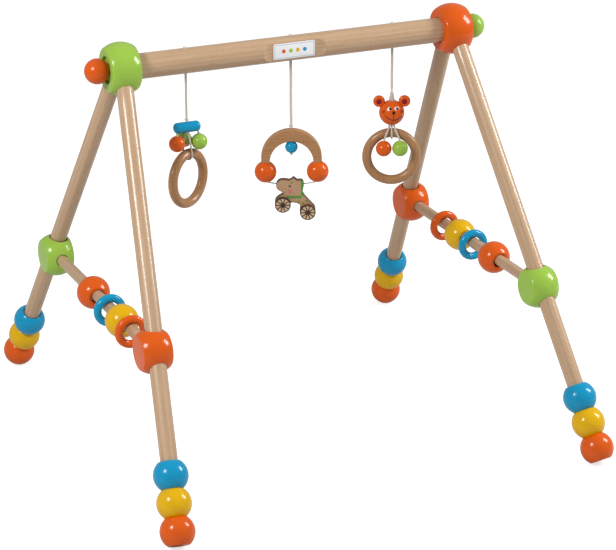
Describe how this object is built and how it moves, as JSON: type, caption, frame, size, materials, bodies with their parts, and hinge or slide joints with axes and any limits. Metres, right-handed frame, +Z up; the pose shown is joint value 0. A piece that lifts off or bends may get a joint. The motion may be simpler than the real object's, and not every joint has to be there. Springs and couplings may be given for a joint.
{
  "type": "activity play gym",
  "caption": "Wooden activity gym: two A-frames with ball joints and beads carry a round bar with hanging toys that swing, turn and slide.",
  "frame": {"origin": "middle of the footprint, on the floor the feet stand on", "axes": "+X along the top bar to the viewer's right, -Y the front where the plate is, +Z up"},
  "size_m": [0.5726, 0.6224, 0.4998],
  "materials": {
    "beech": "clear lacquer on turned beech",
    "orange_paint": "gloss lacquer",
    "green_paint": "gloss lacquer",
    "yellow_paint": "gloss lacquer",
    "blue_paint": "gloss lacquer",
    "cord": "twisted cotton cord",
    "brass": "turned",
    "steel": "zinc plated",
    "white_plate": "satin"
  },
  "bodies": {
    "bar": {"top_bar": "beech", "label_plate": "white_plate", "bar_top_knots": "cord", "bar_inserts": "brass"},
    "left_frame": {"left_hub": "green_paint", "left_crossbar": "beech", "left_front_leg": "beech", "left_front_block": "orange_paint", "left_back_leg": "beech", "left_back_block": "green_paint", "left_orange_foot_beads": "orange_paint", "left_yellow_foot_beads": "yellow_paint", "left_blue_foot_beads": "blue_paint"},
    "left_knob": {"left_knob": "orange_paint", "left_knob_screw": "steel"},
    "left_orange_ring": {"left_sliding_orange_ring": "orange_paint"},
    "left_yellow_ball": {"left_sliding_yellow_ball": "yellow_paint"},
    "left_blue_ring": {"left_sliding_blue_ring": "blue_paint"},
    "left_orange_ball": {"left_sliding_orange_ball": "orange_paint"},
    "right_frame": {"right_hub": "orange_paint", "right_crossbar": "beech", "right_front_leg": "beech", "right_front_block": "green_paint", "right_back_leg": "beech", "right_back_block": "orange_paint", "right_orange_foot_beads": "orange_paint", "right_yellow_foot_beads": "yellow_paint", "right_blue_foot_beads": "blue_paint"},
    "right_knob": {"right_knob": "green_paint", "right_knob_screw": "steel"},
    "right_orange_ball": {"right_sliding_orange_ball": "orange_paint"},
    "right_blue_ring": {"right_sliding_blue_ring": "blue_paint"},
    "right_yellow_ball": {"right_sliding_yellow_ball": "yellow_paint"},
    "right_orange_ring": {"right_sliding_orange_ring": "orange_paint"},
    "left_cord": {"left_cord": "cord"},
    "left_knot": {"left_cord_knot": "cord"},
    "left_toy": {"blue_peg": "blue_paint", "peg_orange_ball": "orange_paint", "peg_green_ball": "green_paint", "peg_middle_ball": "green_paint", "peg_tie_cords": "cord"},
    "middle_cord": {"middle_cord": "cord"},
    "middle_knot": {"middle_cord_knot": "cord"},
    "middle_toy": {"arch": "beech", "arch_balls": "orange_paint", "blue_drop_bead": "blue_paint", "horse_sling_cord": "cord"},
    "right_cord": {"right_cord": "cord"},
    "right_knot": {"right_cord_knot": "cord"},
    "right_toy": {"bear_head": "orange_paint", "bear_ears": "orange_paint", "bear_orange_ball": "orange_paint", "bear_green_ball": "green_paint", "bear_tie_cords": "cord"},
    "left_ring": {"left_gripping_ring": "beech"},
    "right_ring": {"right_gripping_ring": "beech"},
    "horse": {"horse_body": "beech"},
    "front_wheels": {"horse_front_wheels": "beech"},
    "rear_wheels": {"horse_rear_wheels": "beech"}
  },
  "joints": [
    {"name": "left_frame_swivel", "type": "hinge", "parent": "bar", "child": "left_frame", "pos_m": [-0.2133, 0, 0.46882], "axis": [1, 0, 0], "range_deg": [-90, 90]},
    {"name": "left_knob_turn", "type": "hinge", "parent": "bar", "child": "left_knob", "pos_m": [-0.2133, 0, 0.46882], "axis": [1, 0, 0], "continuous": true},
    {"name": "left_orange_ring_slide", "type": "slide", "parent": "left_frame", "child": "left_orange_ring", "axis": [0, 1, 0], "range_m": [-0.04012, 0.0049]},
    {"name": "left_yellow_ball_slide", "type": "slide", "parent": "left_frame", "child": "left_yellow_ball", "axis": [0, 1, 0], "range_m": [-0.0049, 0.01055]},
    {"name": "left_blue_ring_slide", "type": "slide", "parent": "left_frame", "child": "left_blue_ring", "axis": [0, 1, 0], "range_m": [-0.01055, 0.0185]},
    {"name": "left_orange_ball_slide", "type": "slide", "parent": "left_frame", "child": "left_orange_ball", "axis": [0, 1, 0], "range_m": [-0.0185, 0.09902]},
    {"name": "right_frame_swivel", "type": "hinge", "parent": "bar", "child": "right_frame", "pos_m": [0.2133, 0, 0.46882], "axis": [1, 0, 0], "range_deg": [-90, 90]},
    {"name": "right_knob_turn", "type": "hinge", "parent": "bar", "child": "right_knob", "pos_m": [0.2133, 0, 0.46882], "axis": [1, 0, 0], "continuous": true},
    {"name": "right_orange_ball_slide", "type": "slide", "parent": "right_frame", "child": "right_orange_ball", "axis": [0, 1, 0], "range_m": [-0.06952, 0.0173]},
    {"name": "right_blue_ring_slide", "type": "slide", "parent": "right_frame", "child": "right_blue_ring", "axis": [0, 1, 0], "range_m": [-0.0173, 0.007]},
    {"name": "right_yellow_ball_slide", "type": "slide", "parent": "right_frame", "child": "right_yellow_ball", "axis": [0, 1, 0], "range_m": [-0.007, 0.01115]},
    {"name": "right_orange_ring_slide", "type": "slide", "parent": "right_frame", "child": "right_orange_ring", "axis": [0, 1, 0], "range_m": [-0.01115, 0.06662]},
    {"name": "left_cord_swing", "type": "hinge", "parent": "bar", "child": "left_cord", "pos_m": [-0.1335, 0, 0.45262], "axis": [1, 0, 0], "range_deg": [-45, 45]},
    {"name": "left_toy_tilt", "type": "hinge", "parent": "left_cord", "child": "left_knot", "pos_m": [-0.1335, 0, 0.39712], "axis": [0, 1, 0], "range_deg": [-15, 15]},
    {"name": "left_toy_twist", "type": "hinge", "parent": "left_knot", "child": "left_toy", "pos_m": [-0.1335, 0, 0.39712], "axis": [0, 0, 1], "range_deg": [-180, 180]},
    {"name": "middle_cord_swing", "type": "hinge", "parent": "bar", "child": "middle_cord", "pos_m": [0, 0, 0.45262], "axis": [1, 0, 0], "range_deg": [-45, 45]},
    {"name": "middle_toy_tilt", "type": "hinge", "parent": "middle_cord", "child": "middle_knot", "pos_m": [0, 0, 0.37242], "axis": [0, 1, 0], "range_deg": [-15, 15]},
    {"name": "middle_toy_twist", "type": "hinge", "parent": "middle_knot", "child": "middle_toy", "pos_m": [0, 0, 0.37242], "axis": [0, 0, 1], "range_deg": [-180, 180]},
    {"name": "right_cord_swing", "type": "hinge", "parent": "bar", "child": "right_cord", "pos_m": [0.1335, 0, 0.45262], "axis": [1, 0, 0], "range_deg": [-45, 45]},
    {"name": "right_toy_tilt", "type": "hinge", "parent": "right_cord", "child": "right_knot", "pos_m": [0.1335, 0, 0.40032], "axis": [0, 1, 0], "range_deg": [-15, 15]},
    {"name": "right_toy_twist", "type": "hinge", "parent": "right_knot", "child": "right_toy", "pos_m": [0.1335, 0, 0.40032], "axis": [0, 0, 1], "range_deg": [-180, 180]},
    {"name": "left_ring_swing", "type": "hinge", "parent": "left_toy", "child": "left_ring", "pos_m": [-0.1335, 0, 0.35517], "axis": [0.8387, 0.5446, 0], "range_deg": [-30, 30]},
    {"name": "right_ring_swing", "type": "hinge", "parent": "right_toy", "child": "right_ring", "pos_m": [0.1335, 0, 0.34667], "axis": [0.9205, -0.3907, 0], "range_deg": [-30, 30]},
    {"name": "horse_swing", "type": "hinge", "parent": "middle_toy", "child": "horse", "pos_m": [0, 0, 0.29892], "axis": [0.9205, -0.3907, 0], "range_deg": [-45, 45]},
    {"name": "front_wheels_spin", "type": "hinge", "parent": "horse", "child": "front_wheels", "pos_m": [-0.01013, 0.0043, 0.27462], "axis": [0.3907, 0.9205, 0], "continuous": true},
    {"name": "rear_wheels_spin", "type": "hinge", "parent": "horse", "child": "rear_wheels", "pos_m": [0.01756, -0.00745, 0.26491], "axis": [0.3907, 0.9205, 0], "continuous": true}
  ]
}
